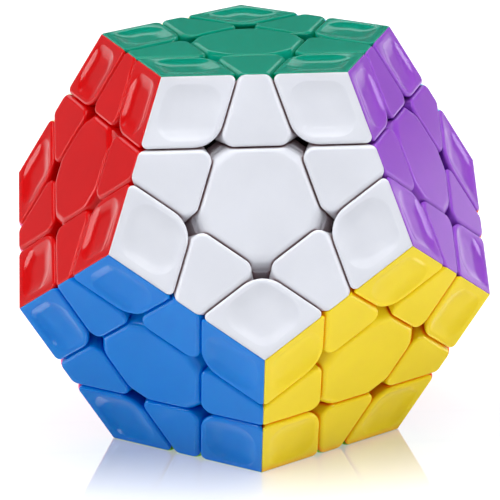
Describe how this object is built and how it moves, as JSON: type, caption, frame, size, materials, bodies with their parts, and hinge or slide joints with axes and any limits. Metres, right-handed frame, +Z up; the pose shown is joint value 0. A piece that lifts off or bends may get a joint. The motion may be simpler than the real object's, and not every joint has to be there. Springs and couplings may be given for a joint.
{
  "type": "dodecahedral twisty puzzle",
  "caption": "Twelve-sided face-turning puzzle with coloured centre, edge and corner pieces on a sprung inner core.",
  "frame": {"origin": "middle of the lime bottom face, which the puzzle stands on", "axes": "+Z up through the green top face, -Y towards the white face, +X to the puzzle's right"},
  "size_m": [0.0786, 0.0826, 0.0668],
  "materials": {
    "green_plastic": "moulded-in colour, glossy ABS",
    "white_plastic": "moulded-in colour, glossy ABS",
    "purple_plastic": "moulded-in colour, glossy ABS",
    "light_blue_plastic": "moulded-in colour, glossy ABS",
    "cream_plastic": "moulded-in colour, glossy ABS",
    "red_plastic": "moulded-in colour, glossy ABS",
    "yellow_plastic": "moulded-in colour, glossy ABS",
    "orange_plastic": "moulded-in colour, glossy ABS",
    "grey_plastic": "moulded-in colour, glossy ABS",
    "pink_plastic": "moulded-in colour, glossy ABS",
    "blue_plastic": "moulded-in colour, glossy ABS",
    "lime_plastic": "moulded-in colour, glossy ABS",
    "core_plastic": "moulded nylon, satin",
    "frame_plastic": "moulded ABS, satin",
    "steel": "plain steel",
    "zinc": "zinc-plated steel"
  },
  "bodies": {
    "body": {"core": "core_plastic", "screws": "steel", "washers": "zinc", "springs": "steel", "corner_frames": "frame_plastic", "edge_frames": "frame_plastic", "body_white_tiles": "white_plastic", "body_purple_tiles": "purple_plastic", "body_light_blue_tiles": "light_blue_plastic", "body_cream_tiles": "cream_plastic", "body_red_tiles": "red_plastic", "body_yellow_tiles": "yellow_plastic", "body_orange_tiles": "orange_plastic", "body_pink_tiles": "pink_plastic", "body_lime_tiles": "lime_plastic"},
    "green_layer": {"green_layer_frames": "frame_plastic", "green_layer_green_tiles": "green_plastic", "green_layer_white_tiles": "white_plastic", "green_layer_purple_tiles": "purple_plastic", "green_layer_light_blue_tiles": "light_blue_plastic", "green_layer_cream_tiles": "cream_plastic", "green_layer_red_tiles": "red_plastic"},
    "blue_layer": {"blue_layer_frames": "frame_plastic", "blue_layer_blue_tiles": "blue_plastic", "blue_layer_white_tiles": "white_plastic", "blue_layer_red_tiles": "red_plastic", "blue_layer_yellow_tiles": "yellow_plastic", "blue_layer_pink_tiles": "pink_plastic", "blue_layer_lime_tiles": "lime_plastic"},
    "grey_layer": {"grey_layer_frames": "frame_plastic", "grey_layer_grey_tiles": "grey_plastic", "grey_layer_light_blue_tiles": "light_blue_plastic", "grey_layer_cream_tiles": "cream_plastic", "grey_layer_orange_tiles": "orange_plastic", "grey_layer_pink_tiles": "pink_plastic", "grey_layer_lime_tiles": "lime_plastic"},
    "green_centre": {"green_cap": "green_plastic", "green_base": "green_plastic"},
    "white_centre": {"white_cap": "white_plastic", "white_base": "white_plastic"},
    "purple_centre": {"purple_cap": "purple_plastic", "purple_base": "purple_plastic"},
    "light_blue_centre": {"light_blue_cap": "light_blue_plastic", "light_blue_base": "light_blue_plastic"},
    "cream_centre": {"cream_cap": "cream_plastic", "cream_base": "cream_plastic"},
    "red_centre": {"red_cap": "red_plastic", "red_base": "red_plastic"},
    "yellow_centre": {"yellow_cap": "yellow_plastic", "yellow_base": "yellow_plastic"},
    "orange_centre": {"orange_cap": "orange_plastic", "orange_base": "orange_plastic"},
    "grey_centre": {"grey_cap": "grey_plastic", "grey_base": "grey_plastic"},
    "pink_centre": {"pink_cap": "pink_plastic", "pink_base": "pink_plastic"},
    "blue_centre": {"blue_cap": "blue_plastic", "blue_base": "blue_plastic"},
    "lime_centre": {"lime_cap": "lime_plastic", "lime_base": "lime_plastic"}
  },
  "joints": [
    {"name": "face_turn_green", "type": "hinge", "parent": "body", "child": "green_layer", "pos_m": [0, 0, 0.03341], "axis": [0, 0, 1], "continuous": true},
    {"name": "face_turn_blue", "type": "hinge", "parent": "body", "child": "blue_layer", "pos_m": [0, 0, 0.03341], "axis": [-0.5257, -0.7236, -0.4472], "continuous": true},
    {"name": "face_turn_grey", "type": "hinge", "parent": "body", "child": "grey_layer", "pos_m": [0, 0, 0.03341], "axis": [0, 0.8944, -0.4472], "continuous": true},
    {"name": "spring_lift_green", "type": "slide", "parent": "green_layer", "child": "green_centre", "axis": [0, 0, 1], "range_m": [0, 0.0005], "stiffness_N_per_m": 400, "springref_m": -0.001, "deforming": ["springs"]},
    {"name": "spring_lift_white", "type": "slide", "parent": "body", "child": "white_centre", "axis": [0, -0.8944, 0.4472], "range_m": [0, 0.0005], "stiffness_N_per_m": 400, "springref_m": -0.001, "deforming": ["springs"]},
    {"name": "spring_lift_purple", "type": "slide", "parent": "body", "child": "purple_centre", "axis": [0.8507, -0.2764, 0.4472], "range_m": [0, 0.0005], "stiffness_N_per_m": 400, "springref_m": -0.001, "deforming": ["springs"]},
    {"name": "spring_lift_light_blue", "type": "slide", "parent": "body", "child": "light_blue_centre", "axis": [0.5257, 0.7236, 0.4472], "range_m": [0, 0.0005], "stiffness_N_per_m": 400, "springref_m": -0.001, "deforming": ["springs"]},
    {"name": "spring_lift_cream", "type": "slide", "parent": "body", "child": "cream_centre", "axis": [-0.5257, 0.7236, 0.4472], "range_m": [0, 0.0005], "stiffness_N_per_m": 400, "springref_m": -0.001, "deforming": ["springs"]},
    {"name": "spring_lift_red", "type": "slide", "parent": "body", "child": "red_centre", "axis": [-0.8507, -0.2764, 0.4472], "range_m": [0, 0.0005], "stiffness_N_per_m": 400, "springref_m": -0.001, "deforming": ["springs"]},
    {"name": "spring_lift_yellow", "type": "slide", "parent": "body", "child": "yellow_centre", "axis": [0.5257, -0.7236, -0.4472], "range_m": [0, 0.0005], "stiffness_N_per_m": 400, "springref_m": -0.001, "deforming": ["springs"]},
    {"name": "spring_lift_orange", "type": "slide", "parent": "body", "child": "orange_centre", "axis": [0.8507, 0.2764, -0.4472], "range_m": [0, 0.0005], "stiffness_N_per_m": 400, "springref_m": -0.001, "deforming": ["springs"]},
    {"name": "spring_lift_grey", "type": "slide", "parent": "grey_layer", "child": "grey_centre", "axis": [0, 0.8944, -0.4472], "range_m": [0, 0.0005], "stiffness_N_per_m": 400, "springref_m": -0.001, "deforming": ["springs"]},
    {"name": "spring_lift_pink", "type": "slide", "parent": "body", "child": "pink_centre", "axis": [-0.8507, 0.2764, -0.4472], "range_m": [0, 0.0005], "stiffness_N_per_m": 400, "springref_m": -0.001, "deforming": ["springs"]},
    {"name": "spring_lift_blue", "type": "slide", "parent": "blue_layer", "child": "blue_centre", "axis": [-0.5257, -0.7236, -0.4472], "range_m": [0, 0.0005], "stiffness_N_per_m": 400, "springref_m": -0.001, "deforming": ["springs"]},
    {"name": "spring_lift_lime", "type": "slide", "parent": "body", "child": "lime_centre", "axis": [0, 0, -1], "range_m": [0, 0.0005], "stiffness_N_per_m": 400, "springref_m": -0.001, "deforming": ["springs"]}
  ]
}
